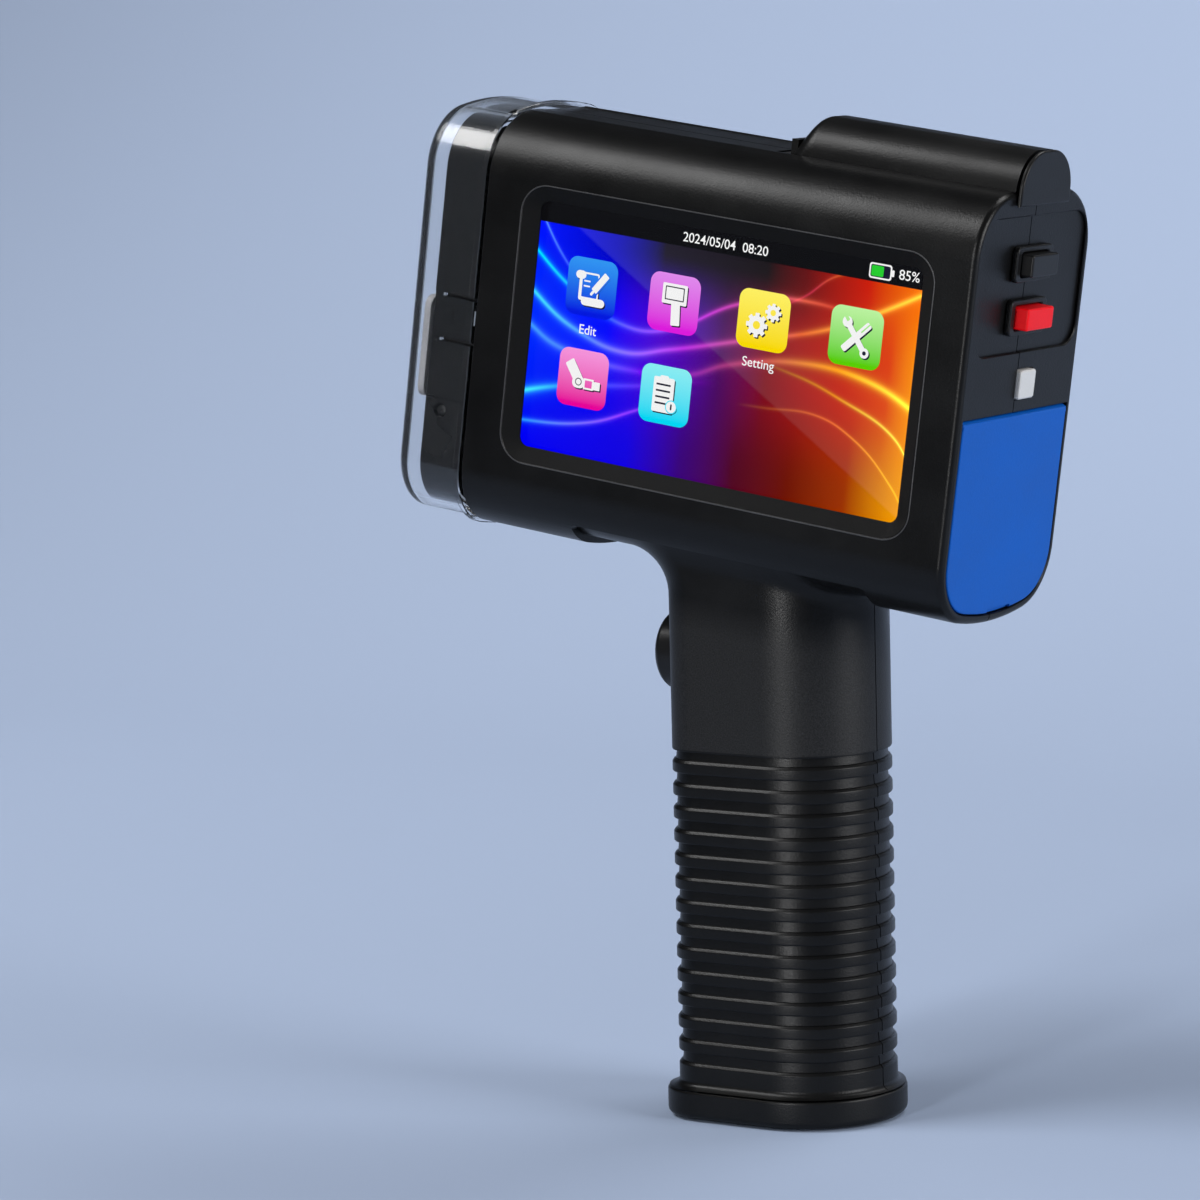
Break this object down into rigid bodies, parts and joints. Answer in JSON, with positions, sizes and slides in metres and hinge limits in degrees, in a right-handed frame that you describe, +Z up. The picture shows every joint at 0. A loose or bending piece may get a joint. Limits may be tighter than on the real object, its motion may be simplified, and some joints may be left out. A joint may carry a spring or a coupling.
{
  "type": "date code inkjet printer",
  "caption": "Handheld pistol-grip inkjet coder with a touch screen on its side, clear muzzle guard, rear keys, blue port door and ribbed trigger grip.",
  "frame": {"origin": "centre of the bounding box in plan, at the bottom of the rubber foot pad", "axes": "+Z up along the grip, -X towards the muzzle, +X towards the keys, -Y towards the screen"},
  "size_m": [0.1526, 0.0514, 0.2219],
  "materials": {
    "housing": "fine-grained black moulded plastic",
    "nose": "polished black",
    "clear": "clear polished plastic",
    "seal": "soft grey",
    "touch_glass": "clear, with a black printed border",
    "display": "lit display",
    "blue_door": "satin blue",
    "red_key": "satin red",
    "grey_key": "satin light grey",
    "black_key": "satin black",
    "satin_black": "satin black",
    "cartridge_shell": "satin black",
    "label": "plain white film",
    "nozzle_gold": "gold plated",
    "circuit_board": "green solder mask",
    "steel": "plain",
    "battery_wrap": "teal shrink wrap over the can",
    "rubber_pad": "matt"
  },
  "bodies": {
    "body": {"front_housing": "housing", "rear_housing": "housing", "base_cap": "housing", "nose_frame": "nose", "touch_glass": "touch_glass", "lcd_module": "display", "function_bezel": "satin_black", "power_bezel": "satin_black", "trigger_collar": "satin_black", "port_panel": "satin_black", "cartridge_cradle": "satin_black", "battery_holder": "satin_black", "function_switch": "satin_black", "power_switch": "satin_black", "select_switch": "satin_black", "trigger_switch": "satin_black", "buzzer": "satin_black", "charge_socket": "satin_black", "nose_screw": "satin_black", "cartridge_body": "cartridge_shell", "cartridge_tab": "cartridge_shell", "cartridge_label": "label", "nozzle_plate": "nozzle_gold", "main_board": "circuit_board", "button_board": "circuit_board", "port_board": "circuit_board", "contact_board": "circuit_board", "case_screw_1": "steel", "case_screw_2": "steel", "case_screw_3": "steel", "case_screw_4": "steel", "cartridge_door_pin": "steel", "port_door_pin": "steel", "top_cover_pin": "steel", "usb_socket": "steel", "cartridge_spring": "steel", "trigger_spring": "steel", "battery_cell_1": "battery_wrap", "battery_cell_2": "battery_wrap", "base_pad": "rubber_pad"},
    "guard": {"nozzle_guard": "clear", "nozzle_seal": "seal"},
    "trigger": {"trigger_button": "black_key"},
    "function_key": {"function_button": "black_key"},
    "power_key": {"power_button": "red_key"},
    "select_key": {"select_button": "grey_key"},
    "rear_door": {"port_door": "blue_door"},
    "lid": {"top_cover": "housing", "top_cover_end": "housing"},
    "side_door": {"cartridge_door": "housing"}
  },
  "joints": [
    {"name": "guard_slide", "type": "slide", "parent": "body", "child": "guard", "axis": [-0.9894, 0, 0.1452], "range_m": [0, 0.045]},
    {"name": "trigger_press", "type": "slide", "parent": "body", "child": "trigger", "axis": [1, 0, 0], "range_m": [0, 0.003], "stiffness_N_per_m": 600, "springref_m": -0.001, "deforming": ["trigger_spring"]},
    {"name": "function_press", "type": "slide", "parent": "body", "child": "function_key", "axis": [-0.9894, 0, 0.1452], "range_m": [0, 0.0015], "stiffness_N_per_m": 800, "springref_m": -0.0005},
    {"name": "power_press", "type": "slide", "parent": "body", "child": "power_key", "axis": [-0.9894, 0, 0.1452], "range_m": [0, 0.0015], "stiffness_N_per_m": 800, "springref_m": -0.0005},
    {"name": "select_press", "type": "slide", "parent": "body", "child": "select_key", "axis": [-0.9894, 0, 0.1452], "range_m": [0, 0.0011], "stiffness_N_per_m": 800, "springref_m": -0.0005},
    {"name": "rear_door_hinge", "type": "hinge", "parent": "body", "child": "rear_door", "pos_m": [0.06557, 0, 0.15374], "axis": [0, -1, 0], "range_deg": [0, 100]},
    {"name": "lid_hinge", "type": "hinge", "parent": "body", "child": "lid", "pos_m": [0.0164, 0, 0.20916], "axis": [0, -1, 0], "range_deg": [0, 70]},
    {"name": "side_door_hinge", "type": "hinge", "parent": "body", "child": "side_door", "pos_m": [0.04158, 0.0237, 0.1618], "axis": [-0.1452, 0, -0.9894], "range_deg": [0, 95]}
  ]
}
